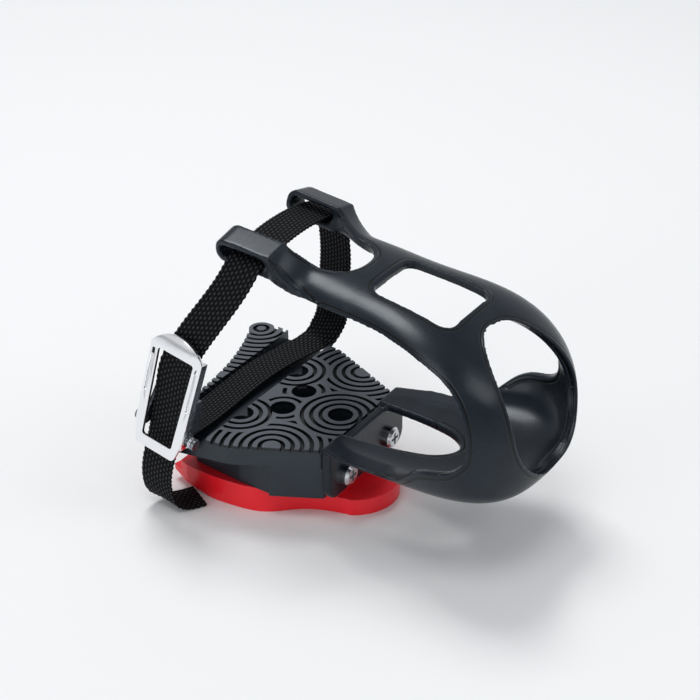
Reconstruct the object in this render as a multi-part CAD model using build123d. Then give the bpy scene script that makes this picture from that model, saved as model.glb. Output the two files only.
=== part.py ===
"""Toe clip adaptor: a tread platform on a bolt-on cleat, with a toe cage, a strap and its buckle.

X points to the toe, Y to the rider's left and Z up, in millimetres. The origin is on the ground,
under the middle of the two-bolt holes.
"""

import os
from math import cos, radians, sin

from build123d import *

# Heights, from the ground up
CLEAT_H = 10.0
BODY_H = 20.5
TOP = CLEAT_H + BODY_H
PLATE_H = 8.0
PLATE_Z = TOP - PLATE_H

# Bolt holes: the two-bolt pair is on the origin, the three-bolt set round it
TWO_BOLT_HALF = 7.0
REAR_BOLT = (-11.0, 18.25)
FRONT_BOLT_X = 20.5
BOLT_R = 2.5
BOLT_FIT = 0.1
BORE_R = 4.7
BORE_DEPTH = 10.0
NUT_R = 4.5
NUT_H = 4.0
SEAT_GAP = 0.05

# Platform outline: the left side reaches further back than the right
FRONT_X = 28.4
FRONT_HALF = 23.8
LEFT_SHOULDER = (-6.0, 41.5)
RIGHT_SHOULDER = (-2.0, -38.9)
LEFT_LOBE = (-42.3, 39.9)
RIGHT_LOBE = (-31.0, -38.2)
LOBE_R = 5.0
REAR_X = -35.4
STEP_X = 10.7
BLOCK_STEP = 1.3

# Strap and its channel
STRAP_W = 13.5
STRAP_T = 1.4
CHANNEL_X0, CHANNEL_X1 = -32.0, -11.5
CHANNEL_DEPTH = 4.0
CHANNEL_Z = TOP - CHANNEL_DEPTH
STRAP_GAP = 0.25
STRAP_SINK = 0.35

# Tread: rings of ridges with grooves between them
PITCH = 3.4
GROOVE = 1.55
GROOVE_DEPTH = 1.3
FIRST_RING = BORE_R + PITCH - GROOVE
SIDE_RING = (11.2, 31.0)

# Toe cage
WALL = 3.0
FLANGE_X = FRONT_X + 0.3
FLANGE_T = 3.6
FLANGE_HALF = 25.6
FLANGE_Z0 = CLEAT_H + 0.5
ARM_TOP = 32.3
SCREW_Y, SCREW_Z = 14.7, 17.2
SCREW_R = 2.0
LOOP_AT = (-2.1, 21.4, 99.3)
LOOP_TILT, LOOP_PITCH = 12.0, 8.0
LOOP_SIZE = (22.0, 10.4, 9.4)
LOOP_SLOT = (18.0, 5.2)

# Buckle: the lever's top and foot edges place it, then sizes run down from the top edge
LEVER_TOP = Vector(-14.1, -46.0, 73.1)
LEVER_FOOT = Vector(-23.5, -52.5, 28.7)
LEVER_T = 1.2
LEVER_L = (LEVER_FOOT - LEVER_TOP).length
LEVER_HALF_TOP, LEVER_HALF_EAR, LEVER_HALF_FOOT = 11.0, 10.4, 8.4
CROWN_V = 5.4
WINDOW_V0, WINDOW_V1 = 6.8, LEVER_L - 4.2
WINDOW_HALF_TOP, WINDOW_HALF_FOOT = 7.7, 6.6
PIVOT_V, PIVOT_N = 37.5, -2.8
PIVOT_R = 1.2
RUN_FIT = 0.05
ROLLER_V, ROLLER_N, ROLLER_R = 29.0, -6.1, 2.4
BAR_V, BAR_N, BAR_R = 35.0, -9.2, 1.2
CHEEK_IN, CHEEK_T = 7.5, 1.2
WEB_V = ROLLER_V - ROLLER_R - 1.0
SIDE_GAP = 0.35


def save(shape, name):
    """Writes one node."""
    export_step(shape, f"parts/{name}.step")


def both_sides(half):
    """A shape and its mirror image across the XZ plane, fused."""
    return half + mirror(half, about=Plane.XZ)


def pair(shape):
    """A shape and its mirror image across the XZ plane, as two solids of one node."""
    return Compound(children=[shape, mirror(shape, about=Plane.XZ)])


def three_bolt_places():
    """Centres of the three-bolt holes."""
    x, y = REAR_BOLT
    return [(x, y), (x, -y), (FRONT_BOLT_X, 0)]


def two_bolt_places():
    """Centres of the two-bolt holes."""
    return [(0, TWO_BOLT_HALF), (0, -TWO_BOLT_HALF)]


def upright(places, radius, z0, z1):
    """Cylinders standing on each place between two heights."""
    return [Pos(x, y, z0) * extrude(Circle(radius), z1 - z0) for x, y in places]


# Platform

def platform_outline():
    """Plan of the tread: a blunt front, widening sides, round rear lobes and a hollow rear edge."""
    back = LOBE_R * cos(radians(45))
    left, right = LEFT_LOBE, RIGHT_LOBE
    left_side, right_side = (left[0], left[1] + LOBE_R), (right[0], right[1] - LOBE_R)
    left_tail, right_tail = (left[0] - back, left[1] - back), (right[0] - back, right[1] + back)
    left_front, right_front = (FRONT_X, FRONT_HALF), (FRONT_X, -FRONT_HALF)
    face = make_face([
        Polyline(right_side, RIGHT_SHOULDER, right_front, left_front, LEFT_SHOULDER, left_side),
        ThreePointArc(left_side, (left[0] - LOBE_R, left[1]), left_tail),
        ThreePointArc(left_tail, (REAR_X, 2), right_tail),
        ThreePointArc(right_tail, (right[0] - LOBE_R, right[1]), right_side),
    ])
    for corner, radius in ((LEFT_SHOULDER, 14), (RIGHT_SHOULDER, 14), (left_front, 2.5), (right_front, 2.5)):
        face = fillet(face.vertices().sort_by_distance(corner)[0], radius)
    return face


def block_outline():
    """Plan of the lower block: flush with the tread in front, set in behind the step."""
    slope = (-RIGHT_SHOULDER[1] - FRONT_HALF) / (RIGHT_SHOULDER[0] - FRONT_X)
    at_step = FRONT_HALF + slope * (STEP_X - FRONT_X)
    half = make_face(Polyline(
        (-30, 0), (FRONT_X, 0), (FRONT_X, FRONT_HALF), (STEP_X, at_step),
        (STEP_X, at_step - BLOCK_STEP), (-3.4, 30.6), (-25, 27.6), (-30, 22), close=True))
    return both_sides(half)


def rings(centre, first, count):
    """Groove rings round a centre, the first one starting at radius first."""
    made = Sketch()
    for k in range(count):
        inner = first + k * PITCH
        made += Pos(*centre) * (Circle(inner + GROOVE) - Circle(inner))
    return made


def tread_grooves():
    """All the grooves of the tread. Each set of rings covers the sets that follow it."""
    x, y = REAR_BOLT
    free = platform_outline()
    free -= Pos((CHANNEL_X0 + CHANNEL_X1) / 2, 0) * Rectangle(CHANNEL_X1 - CHANNEL_X0, 200)
    sets = [((FRONT_BOLT_X, 0), FIRST_RING, 3)]
    sets += [((x, side * y), FIRST_RING, 2) for side in (1, -1)]
    sets += [((0, side * TWO_BOLT_HALF), FIRST_RING, 1) for side in (-1, 1)]
    sets += [((SIDE_RING[0], side * SIDE_RING[1]), PITCH, 6) for side in (1, -1)]
    sets += [((FRONT_BOLT_X, 0), FIRST_RING + 3 * PITCH, 3)]
    made = Sketch()
    for centre, first, count in sets:
        made += rings(centre, first, count) & free
        free -= Pos(*centre) * Circle(first + count * PITCH)
    for lobe in (LEFT_LOBE, RIGHT_LOBE):
        own = free & (Pos(0, 50 if lobe[1] > 0 else -50) * Rectangle(200, 100))
        made += rings(lobe, PITCH - GROOVE, 11) & own
    return made


def cage_nut_pockets():
    """Pockets for the square nuts, open below, and the screw holes that lead to them."""
    x = FRONT_X - 6.0
    slot = Pos(x, SCREW_Y, (CLEAT_H + SCREW_Z + 3.6) / 2) * Box(3.4, 7.2, SCREW_Z + 3.6 - CLEAT_H)
    bore = Pos(FRONT_X - 12, SCREW_Y, SCREW_Z) * Rot(0, 90, 0) * extrude(Circle(SCREW_R + 0.2), 20)
    return [slot, bore, mirror(slot, about=Plane.XZ), mirror(bore, about=Plane.XZ)]


def platform():
    """The moulded body."""
    body = Pos(0, 0, PLATE_Z) * extrude(platform_outline(), PLATE_H)
    body += Pos(0, 0, CLEAT_H) * extrude(block_outline(), BODY_H - PLATE_H)
    middle = (CHANNEL_X0 + CHANNEL_X1) / 2
    body -= Pos(middle, 0, CHANNEL_Z + 5) * Box(CHANNEL_X1 - CHANNEL_X0, 200, 10)
    body -= Pos(0, 0, TOP - GROOVE_DEPTH) * extrude(tread_grooves(), 2 * GROOVE_DEPTH)
    places = three_bolt_places() + two_bolt_places()
    seat = TOP - BORE_DEPTH
    for hole in upright(places, BORE_R, seat, TOP + 1):
        body -= hole
    for hole in upright(places, BOLT_R + BOLT_FIT, CLEAT_H - 1, seat):
        body -= hole
    for pocket in cage_nut_pockets():
        body -= pocket
    return body


# Cleat and its fasteners

WASHER = (15.0, 11.0, 1.5)
WASHER_Z = 5.6
HEAD_R, HEAD_H = 4.2, 3.2
BOLT_END = TOP - BORE_DEPTH + NUT_H - 0.5
NOSE_TOP = 6.6
LIP_H = 6.0


def cleat_outline():
    """Plan of the cleat: round nose, waist, wide wings and a shallow hollow behind."""
    half = make_face([
        Line((-31, 0), (43.5, 0)),
        ThreePointArc((43.5, 0), (41.2, 8.6), (34.5, 15.2)),
        Spline((34.5, 15.2), (27.5, 16.6), (16.4, 21.8), (7, 29.6), (-4, 32.4), (-16, 32.8), (-27, 31.6)),
        Line((-27, 31.6), (-35, 28.5)),
        ThreePointArc((-35, 28.5), (-32.4, 14), (-31, 0)),
    ])
    return both_sides(half)


def cleat():
    """The red cleat, with its low nose, its rear lip and the bolt seats from below."""
    body = extrude(cleat_outline(), CLEAT_H)
    body -= Pos(29 + 15, 0, NOSE_TOP + 5) * Box(30, 60, 10)
    body -= Pos(-30.5 - 15, 0, LIP_H + 5) * Box(30, 80, 10)
    ramp = make_face(Polyline((-15, -0.01), (-40, -0.01), (-40, 4.6), close=True))
    body -= extrude(Plane.XZ * ramp, 40, both=True)
    for x, y in three_bolt_places():
        body -= Pos(x, y, 0) * extrude(Rectangle(WASHER[0] + 1, WASHER[1] + 1), WASHER_Z + WASHER[2])
        body -= Pos(x, y, 0) * extrude(SlotOverall(9, 2 * (BOLT_R + BOLT_FIT) + 0.2), CLEAT_H)
    return body


def cleat_bolts():
    """Three hexagon head bolts from below."""
    made = []
    for x, y in three_bolt_places():
        bolt = Pos(x, y, WASHER_Z - HEAD_H) * extrude(RegularPolygon(HEAD_R, 6), HEAD_H)
        bolt += Pos(x, y, WASHER_Z) * extrude(Circle(BOLT_R), BOLT_END - WASHER_Z)
        made.append(bolt)
    return Compound(children=made)


def cleat_washers():
    """Three rectangular washer plates."""
    plate = extrude(Rectangle(WASHER[0], WASHER[1]) - Circle(BOLT_R + BOLT_FIT), WASHER[2])
    return Compound(children=[Pos(x, y, WASHER_Z) * plate for x, y in three_bolt_places()])


def cleat_nuts():
    """Three hexagon nuts on the floors of the counterbores."""
    nut = extrude(RegularPolygon(NUT_R, 6) - Circle(BOLT_R + SEAT_GAP), NUT_H)
    return Compound(children=[Pos(x, y, TOP - BORE_DEPTH) * nut for x, y in three_bolt_places()])


# Toe cage

# The skin swells from the arms to the cup, then closes round the nose
SKIN_START, SKIN_END = -10.0, 107.2
SKIN_STEPS = 7
CUP_X, CUP_HALF = 78.0, 40.0
NOSE_X = SKIN_END + 0.8
LOOP_HALF = 29.0
CROWN_START, CROWN_SLOPE, CROWN_DROP = 100.0, 0.16, 37.0
FLOOR_Z, FLOOR_RISE = 29.2, 13.0
FULL_ARMS, FULL_CUP = (0.86, 1.1), (0.79, 0.82)
WAIST = 0.45

# Each top arm starts inside the web that comes down from its strap loop
ARM_START = 18.0
WEB_X, WEB_L, WEB_STEPS = 8.6, 17.0, 4
WEB_SINK = 0.4


def closing(x, start, power):
    """Runs from 1 at start to 0 at the nose, like an ellipse."""
    share = max(0.0, min(1.0, (x - start) / (NOSE_X - start)))
    return (1 - share ** power) ** 0.5


def skin_half(x):
    """Half width of the skin."""
    swell = max(0.0, min(1.0, (x - 5) / (CUP_X - 5)))
    return (LOOP_HALF + (CUP_HALF - LOOP_HALF) * swell ** 2) * closing(x, CUP_X, 2.2)


def skin_crown(x):
    """Height of the skin's top line."""
    return CROWN_START - CROWN_SLOPE * x - CROWN_DROP * (1 - closing(x, 60, 2.0))


def skin_floor(x):
    """Height of the skin's bottom line."""
    return FLOOR_Z + FLOOR_RISE * (1 - closing(x, 80, 2.4))


def skin_section(x, half, floor, crown):
    """One closed cross section made of four round quarters, squarer over the arms than at the cup."""
    cup = max(0.0, min(1.0, (x - 50) / 30))
    high, low = [arms + (nose - arms) * cup for arms, nose in zip(FULL_ARMS, FULL_CUP)]
    middle = floor + WAIST * (crown - floor)
    rise, fall = crown - middle, middle - floor
    quarters = []
    for w in (half, -half):
        side = (x, w, middle)
        quarters.append(Bezier((x, 0, crown), (x, high * w, crown), (x, w, middle + high * rise), side))
        quarters.append(Bezier(side, (x, w, middle - low * fall), (x, low * w, floor), (x, 0, floor)))
    return make_face(quarters)


def skin(inset):
    """The cage's skin as a solid, drawn in by a wall where asked. The places close up to the nose."""
    faces = []
    for k in range(SKIN_STEPS + 1):
        x = SKIN_END - (SKIN_END - SKIN_START) * (1 - k / SKIN_STEPS) ** 1.7
        sizes = (skin_half(x) - inset, skin_floor(x) + inset, skin_crown(x) - inset)
        faces.append(skin_section(x - inset * max(0.0, (x - 60) / (SKIN_END - 60)), *sizes))
    return loft(faces)


def there_and_back(points):
    """Points of a half outline, then the same points mirrored across the first axis."""
    return points + [(x, -y) for x, y in reversed(points) if y]


def side_opening():
    """Foot opening through both sides: under the top arms, round the legs and over the cup's rim."""
    under_arm = Spline((-20, 91.8), (15, 89.8), (40, 86.9), (70, 81.4), (83, 74.7), (89.6, 64), (90.4, 57))
    rim = Spline(
        (90.4, 57), (89.0, 51.6), (85, 48.4), (79.5, 47.2), (73.5, 45), (67, 39.2), (61, 34.6), (54, 33))
    face = make_face([
        under_arm, rim,
        Polyline((54, 33), (FLANGE_X, ARM_TOP), (FLANGE_X, 20), (-20, 20), (-20, 91.8)),
    ])
    return extrude(Plane.XZ * face, 60, both=True)


def front_window():
    """Oval opening in the nose between the legs, drawn with its height along the first axis."""
    half = [(83.7, 0), (82.4, 8.5), (77.3, 16), (69, 21), (58, 23), (48.6, 20.3), (41.4, 12.8), (37.5, 0)]
    face = make_face(Spline(*there_and_back(half), periodic=True))
    along_nose = Plane(origin=(70, 0, 0), x_dir=(0, 0, 1), z_dir=(1, 0, 0))
    return extrude(along_nose * face, NOSE_X - 60)


def top_window():
    """Window between the two top arms, wider to the front."""
    face = make_face(Polyline((41.0, -13.6), (72.0, -15.4), (72.0, 15.4), (41.0, 13.6), close=True))
    face = fillet(face.vertices(), 4.5)
    return Pos(0, 0, 75) * extrude(face, 40)


def rear_notch():
    """Notch between the top arms, open to the rear."""
    end = Spline(*there_and_back([(9, 15.6), (15, 13.9), (21, 13.2), (28.5, 9.3), (31.6, 0)]))
    mouth = Polyline((9, -15.6), (-30, -15.6), (-30, 15.6), (9, 15.6))
    return Pos(0, 0, 75) * extrude(make_face([end, mouth]), 40)


def floor_opening():
    """Opening between the floor arms."""
    end = Spline(*there_and_back([(20, 13.8), (43, 12.2), (57, 9.9), (64, 7.3), (69.4, 0)]))
    face = make_face([end, Line((20, -13.8), (20, 13.8))])
    return extrude(face, 45)


def beside_arms():
    """What lies outside the floor arms."""
    side = make_face(Polyline(
        (0, FLANGE_HALF), (FLANGE_X, FLANGE_HALF), (60, 35.3), (60, 60), (0, 60), close=True))
    return pair(extrude(side, 40)).solids()


def beside_loops():
    """What lies outside the strap loops and the rear of the top arms."""
    side = make_face(Polyline((0, 24.2), (ARM_START, 24.2), (40, 31.5), (40, 60), (0, 60), close=True))
    return pair(Pos(0, 0, 80) * extrude(side, 30)).solids()


def loop_frame():
    """Place of the left strap loop, tilted down to the toe and to its outer side."""
    return Pos(*LOOP_AT) * Rot(-LOOP_TILT, LOOP_PITCH, 0)


def web_section(share):
    """Cross section of a loop's web: raised near the loop at 0, down in the arm's skin at 1."""
    x = WEB_X + WEB_L * share
    rest = 1 - share
    inner = (12.6 + 4.2 * rest ** 2, skin_crown(x) - 1.1 + 6.0 * rest ** 2 - WEB_SINK * share)
    outer = (24.6 + 2.4 * rest ** 2, skin_crown(x) - 6.8 + 9.1 * rest ** 2 - WEB_SINK * share)
    middle = ((inner[0] + outer[0]) / 2, (inner[1] + outer[1]) / 2 + 2.2 * share)
    depth = WALL + 0.3 + 5.3 * rest ** 3
    top = [(x, y, z) for y, z in (inner, middle, outer)]
    low = [(x, y, z - depth) for y, z in (outer, middle, inner)]
    return make_face([Bezier(*top), Line(top[2], low[0]), Bezier(*low), Line(low[2], top[0])])


def loop_sleeve():
    """The left strap loop, round behind, and the hollow-topped web that leads down to its arm."""
    length, width, height = LOOP_SIZE
    side = Rectangle(length, height)
    side = fillet(side.vertices().group_by(Axis.X)[0], 4)
    sleeve = loop_frame() * extrude(Plane.XZ * side, width / 2, both=True)
    corners = [(-1, 1), (1, 1), (1, -1), (-1, -1)]
    front = [(loop_frame() * Pos(length / 2, y * width / 2, z * height / 2)).position for y, z in corners]
    sections = [Face(Wire.make_polygon(front))]
    sections += [web_section(k / WEB_STEPS) for k in range(1, WEB_STEPS + 1)]
    return sleeve + loft(sections)


def loop_slot():
    """The strap's way through the left loop."""
    return loop_frame() * extrude(Plane.XZ * RectangleRounded(LOOP_SLOT[0], LOOP_SLOT[1], 2.4), 20, both=True)


def flange():
    """Plate that is screwed to the platform's front, under the roots of the floor arms."""
    height = ARM_TOP - 1.9 - FLANGE_Z0
    face = Rectangle(2 * FLANGE_HALF, height)
    face = fillet(face.vertices().group_by(Axis.Y)[0], 5)
    plate = Pos(FLANGE_X, 0, FLANGE_Z0 + height / 2) * extrude(Plane.YZ * face, FLANGE_T)
    for side in (1, -1):
        bore = Rot(0, 90, 0) * extrude(Circle(SCREW_R + 0.3), 10)
        plate -= Pos(FLANGE_X - 1, side * SCREW_Y, SCREW_Z) * bore
    return plate


def toe_cage():
    """The whole moulding."""
    shell = skin(0) - skin(WALL)
    shell -= Pos(ARM_START - 50, 0, 60) * Box(100, 200, 200)
    shell -= side_opening()
    shell -= front_window()
    shell -= top_window()
    shell -= rear_notch()
    shell -= floor_opening()
    for cut in beside_arms() + beside_loops():
        shell -= cut
    shell += flange()
    shell += both_sides(loop_sleeve())
    for slot in (loop_slot(), mirror(loop_slot(), about=Plane.XZ)):
        shell -= slot
    return shell


# Cage fasteners


def cage_screws():
    """Two pan head screws through the flange."""
    seat = FLANGE_X + FLANGE_T
    shank = Pos(seat - 13, SCREW_Y, SCREW_Z) * Rot(0, 90, 0) * extrude(Circle(SCREW_R), 13)
    head = Pos(seat, SCREW_Y, SCREW_Z) * Rot(0, 90, 0) * extrude(Circle(4.1), 2.8)
    head = chamfer(head.edges().sort_by(Axis.X)[-1], 1.0)
    cross = Box(2.4, 1.1, 4.6) + Box(2.4, 4.6, 1.1)
    return pair(shank + head - Pos(seat + 2.8, SCREW_Y, SCREW_Z) * cross)


def cage_nuts():
    """Two square nuts in the platform's front pockets."""
    nut = extrude(Rectangle(7, 7) - Circle(SCREW_R + SEAT_GAP), 3.2)
    return pair(Pos(FRONT_X - 6 - 1.6, SCREW_Y, SCREW_Z) * Rot(0, 90, 0) * nut)


# Buckle: X runs across the strap, Y up along it and Z outwards from the lever's inner face

DOWN = (LEVER_FOOT - LEVER_TOP).normalized()
ACROSS = (Vector(1, 0, 0) - DOWN * DOWN.X).normalized()
OUT = DOWN.cross(ACROSS)
BUCKLE = Plane(origin=LEVER_TOP, x_dir=ACROSS, z_dir=OUT)


def across(radius, v, n, w0, w1):
    """A round bar lying across the strap."""
    bar = extrude(Circle(radius), w1 - w0)
    return Pos(w0, -v, n) * Rot(0, 90, 0) * bar


def place(shape):
    """Moves a shape from the buckle's own axes to the part's."""
    return BUCKLE.location * shape


def lever_outline():
    """Outline of the pressed frame, with its crowned top."""
    half = make_face([
        Line((0, -LEVER_L), (0, 0.6)),
        ThreePointArc((0, 0.6), (7.0, -1.5), (LEVER_HALF_TOP, -CROWN_V)),
        Line((LEVER_HALF_TOP, -CROWN_V), (LEVER_HALF_EAR, -PIVOT_V)),
        Line((LEVER_HALF_EAR, -PIVOT_V), (LEVER_HALF_FOOT, -LEVER_L)),
        Line((LEVER_HALF_FOOT, -LEVER_L), (0, -LEVER_L)),
    ])
    corner = half.vertices().sort_by_distance((LEVER_HALF_FOOT, -LEVER_L))[0]
    half = fillet(corner, 2)
    return half + mirror(half, about=Plane.YZ)


def buckle_lever():
    """Pressed frame: plate with a tapered window, folded sides and two pivot ears."""
    outline = lever_outline()
    plate = extrude(outline, LEVER_T)
    window = make_face(Polyline(
        (-WINDOW_HALF_TOP, -WINDOW_V0), (WINDOW_HALF_TOP, -WINDOW_V0),
        (WINDOW_HALF_FOOT, -WINDOW_V1), (-WINDOW_HALF_FOOT, -WINDOW_V1), close=True))
    plate -= Pos(0, 0, -5) * extrude(fillet(window.vertices(), 1), 10)
    rim = outline - offset(outline, -LEVER_T)
    rim &= Pos(0, -(CROWN_V + LEVER_L - 4) / 2) * Rectangle(40, LEVER_L - 4 - CROWN_V)
    plate += Pos(0, 0, -2.2) * extrude(rim, 2.2)
    for side in (1, -1):
        inside = CHEEK_IN + CHEEK_T + SIDE_GAP
        disc = across(3.0, PIVOT_V, PIVOT_N, inside, inside + LEVER_T)
        disc += Pos(inside + LEVER_T / 2, -PIVOT_V, PIVOT_N / 2 + 0.3) * Box(LEVER_T, 6, -PIVOT_N + 0.6)
        plate += disc if side > 0 else mirror(disc, about=Plane.YZ)
        bore = across(PIVOT_R + RUN_FIT, PIVOT_V, PIVOT_N, 6, 16)
        plate -= bore if side > 0 else mirror(bore, about=Plane.YZ)
    return place(plate)


def buckle_base():
    """Bent bracket: two cheeks and the web that joins them behind the strap."""
    outline = make_face(Polyline(
        (-PIVOT_V - 1.8, PIVOT_N + 1.2), (-PIVOT_V + 1.6, PIVOT_N + 2.0), (-WEB_V + 2, ROLLER_N + 2.2),
        (-WEB_V + 2, ROLLER_N - 2.2), (-BAR_V + 2.2, BAR_N - 2.4), (-BAR_V - 2.6, BAR_N - 1.8), close=True))
    cheek = extrude(Plane.YZ * outline, CHEEK_T)
    body = Pos(CHEEK_IN, 0, 0) * cheek + Pos(-CHEEK_IN - CHEEK_T, 0, 0) * cheek
    body += Pos(0, -WEB_V, ROLLER_N) * Box(2 * (CHEEK_IN + CHEEK_T), 1.2, 3.6)
    for radius, v, n in ((PIVOT_R, PIVOT_V, PIVOT_N), (BAR_R, ROLLER_V, ROLLER_N), (BAR_R, BAR_V, BAR_N)):
        body -= across(radius, v, n, -20, 20)
    return place(body)


def buckle_pivots():
    """Two stub rivets that the lever swings on."""
    start = CHEEK_IN - 0.1
    head = CHEEK_IN + CHEEK_T + LEVER_T + 2 * SIDE_GAP
    stub = across(PIVOT_R, PIVOT_V, PIVOT_N, start, head)
    right = stub + across(PIVOT_R, PIVOT_V, PIVOT_N, head, head + 2.2)
    right += across(2.1, PIVOT_V, PIVOT_N, head + 2.2, head + 3.2)
    left = mirror(stub + across(2.1, PIVOT_V, PIVOT_N, head, head + 1.8), about=Plane.YZ)
    return Compound(children=[place(right), place(left)])


def buckle_roller():
    """Knurled roller that turns behind the strap."""
    length = CHEEK_IN - 0.3
    roller = across(ROLLER_R, ROLLER_V, ROLLER_N, -length, length)
    for k in range(10):
        angle = radians(36 * k)
        v = ROLLER_V - ROLLER_R * sin(angle)
        n = ROLLER_N + ROLLER_R * cos(angle)
        roller -= Pos(0, -v, n) * Rot(36 * k, 0, 0) * Box(2 * length - 1.6, 0.5, 0.6)
    roller -= across(BAR_R + RUN_FIT, ROLLER_V, ROLLER_N, -20, 20)
    return place(roller)


def riveted_bar(v, n):
    """A bar across the bracket with spread ends."""
    reach = CHEEK_IN + CHEEK_T
    return place(across(BAR_R, v, n, -reach - 0.3, reach + 0.3))


def buckle_spring():
    """Wire coil round the right pivot, close wound, with one end hooked on the bracket."""
    start = CHEEK_IN + CHEEK_T + LEVER_T + 2 * SIDE_GAP + 0.1
    coil = across(2.2, PIVOT_V, PIVOT_N, start, start + 1.9)
    coil -= across(PIVOT_R + 0.2, PIVOT_V, PIVOT_N, start - 1, start + 4)
    coil += Pos(start + 0.3, -PIVOT_V - 1.9, PIVOT_N - 2.2) * Box(0.6, 0.6, 4.4)
    coil += Pos(start - 1.0, -PIVOT_V - 1.9, PIVOT_N - 4.1) * Box(2.9, 0.6, 0.6)
    return place(coil)


# Strap

def buckle_point(w, v, n):
    """A point given in the buckle's own axes."""
    return LEVER_TOP + ACROSS * w + DOWN * v + OUT * n


def strap_stations():
    """Centre line of the strap from its fixed end to its tail, each with the strap's width direction."""
    flat = Vector(1, 0, 0)
    tilted = Vector(cos(radians(LOOP_PITCH)), 0, -sin(radians(LOOP_PITCH)))
    turned = Vector(0.89, -0.46, 0)
    reach = BAR_R + STRAP_GAP + STRAP_T / 2
    stations = []
    for angle in range(-60, 196, 32):
        v = BAR_V - reach * sin(radians(angle))
        n = BAR_N + reach * cos(radians(angle))
        stations.append((buckle_point(0, v, n), ACROSS))
    level = TOP - STRAP_SINK - STRAP_T / 2
    stations += [
        (Vector(-22.9, -37.8, level + 2.2), ACROSS * 0.5 + flat * 0.5),
        (Vector(-23.2, -35.4, level + 0.4), flat),
        (Vector(-23.4, -32.5, level), flat),
        (Vector(-23.4, 22.0, level), flat),
        (Vector(-21.0, 36.0, level), flat),
        (Vector(-19.4, 41.2, level + 0.5), flat),
        (Vector(-17.8, 44.8, level + 2.0), flat),
        (Vector(-15.8, 46.2, level + 5.4), flat),
        (Vector(-13.8, 46.6, level + 10.0), flat),
        (Vector(-10.4, 43.4, 48.0), flat * 0.7 + tilted * 0.3),
        (Vector(-6.8, 39.0, 60.0), flat * 0.5 + tilted * 0.5),
        (Vector(-2.2, 32.4, 82.0), tilted),
        (Vector(-1.8, 29.6, 93.0), tilted),
        (Vector(-1.8, 28.0, 96.0), tilted),
        (Vector(-1.8, 25.6, 97.5), tilted),
        (Vector(-1.8, 16.0, 99.7), tilted),
        (Vector(-1.5, 5.0, 100.8), tilted),
        (Vector(-1.2, -5.0, 100.8), tilted),
        (Vector(-0.9, -16.0, 99.7), tilted),
        (Vector(-0.7, -25.6, 97.5), tilted),
        (Vector(-0.9, -28.0, 95.9), tilted),
        (Vector(-2.0, -30.6, 92.2), tilted),
    ]
    for w, v, n in ((1.3, 4, -2.1), (-0.8, 12, -1.8), (-0.4, 27, -2.4), (-0.4, 40, -3.6), (-0.7, 46, -4.4)):
        stations.append((buckle_point(w, v, n), ACROSS))
    stations += [
        (Vector(-25.8, -49.4, 20.0), ACROSS),
        (Vector(-26.6, -49.4, 13.0), ACROSS * 0.7 + flat * 0.3),
        (Vector(-26.4, -48.7, 8.6), ACROSS * 0.3 + flat * 0.7),
        (Vector(-25.8, -47.4, 5.4), flat * 0.8 + turned * 0.2),
        (Vector(-24.8, -45.4, 3.1), flat * 0.5 + turned * 0.5),
        (Vector(-23.6, -43.0, 1.7), flat * 0.2 + turned * 0.8),
        (Vector(-22.2, -40.6, 1.0), turned),
        (Vector(-18.9, -34.9, 0.8), turned),
    ]
    return stations


def strap_section(before, at, after, width_way):
    """Rectangle across the strap at one station."""
    along = (after - before).normalized()
    width = (width_way - along * width_way.dot(along)).normalized()
    thick = along.cross(width)
    a, b = width * (STRAP_W / 2), thick * (STRAP_T / 2)
    return Face(Wire.make_polygon([at + a + b, at - a + b, at - a - b, at + a - b]))


def strap():
    """The woven strap as one thin solid."""
    stations = strap_stations()
    points = [point for point, way in stations]
    faces = []
    for k, (point, way) in enumerate(stations):
        before = points[max(k - 1, 0)]
        after = points[min(k + 1, len(points) - 1)]
        faces.append(strap_section(before, point, after, way))
    return loft(faces, ruled=True)


def main():
    """Builds every node."""
    os.makedirs("parts", exist_ok=True)
    save(platform(), "platform")
    save(cleat(), "cleat")
    save(cleat_bolts(), "cleat_bolts")
    save(cleat_washers(), "cleat_washers")
    save(cleat_nuts(), "cleat_nuts")
    save(toe_cage(), "toe_cage")
    save(cage_screws(), "cage_screws")
    save(cage_nuts(), "cage_nuts")
    save(buckle_lever(), "buckle_lever")
    save(buckle_base(), "buckle_base")
    save(buckle_pivots(), "buckle_pivots")
    save(buckle_roller(), "buckle_roller")
    save(riveted_bar(ROLLER_V, ROLLER_N), "roller_pin")
    save(riveted_bar(BAR_V, BAR_N), "strap_bar")
    save(buckle_spring(), "buckle_spring")
    save(strap(), "strap")


main()
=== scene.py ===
# %% [markdown]
# This lesson dresses a toe clip adaptor: a tread platform on a red cleat, a black moulded cage for
# the toe, and a woven strap that runs through a bright sprung buckle. The CAD model gives every
# solid its place, so this script only adds what CAD leaves plain: soft edges, the weave of the
# strap, the pressed form of the buckle, the finish of each surface, the light and the camera.

# %% Load the frame
from math import copysign, cos, floor, pi, radians, sin, tau

import bmesh
import bpy
from mathutils import Matrix, Vector
from mathutils.kdtree import KDTree


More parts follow.
